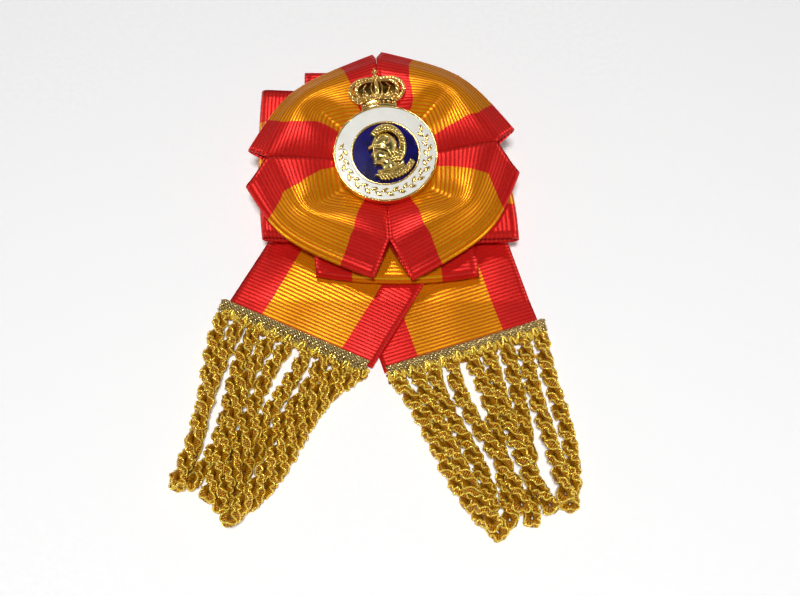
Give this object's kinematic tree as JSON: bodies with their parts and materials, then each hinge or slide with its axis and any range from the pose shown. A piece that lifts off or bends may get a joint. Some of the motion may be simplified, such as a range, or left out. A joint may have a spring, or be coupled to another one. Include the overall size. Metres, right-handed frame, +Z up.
{
  "type": "cockade",
  "caption": "Striped moire ribbon cockade with two bullion-fringed tails and a crowned enamel badge, worn pinned on and shown lying on its back.",
  "frame": {"origin": "middle of the brooch pin's flat back, on the surface that the cockade lies on", "axes": "+Z up, out of the cockade's front; +Y from the fringe towards the crown; +X to the wearer's left, to the right in the picture"},
  "size_m": [0.0938, 0.1215, 0.023],
  "materials": {
    "ribbon": "ribbed moire ribbon with red edges and a golden yellow middle",
    "braid_thread": "woven braid of pale antique gold thread",
    "bullion_thread": "twisted gold bullion wrapped with curly metallic thread",
    "gilt": "bright gilt casting",
    "white_enamel": "glossy opaque white enamel",
    "blue_enamel": "glossy dark blue enamel",
    "pin_metal": "plain plated metal"
  },
  "bodies": {
    "root": {"pin_bar": "pin_metal", "tail_right": "ribbon", "tail_left": "ribbon", "braid_right": "braid_thread", "braid_left": "braid_thread", "fringe_right": "bullion_thread", "fringe_left": "bullion_thread", "bow_down": "ribbon", "bow_across": "ribbon", "petal_upper_left": "ribbon", "petal_upper_right": "ribbon", "petal_lower_right": "ribbon", "petal_lower_left": "ribbon", "badge_body": "gilt", "badge_ring": "white_enamel", "badge_field": "blue_enamel", "badge_head": "gilt"}
  },
  "joints": []
}
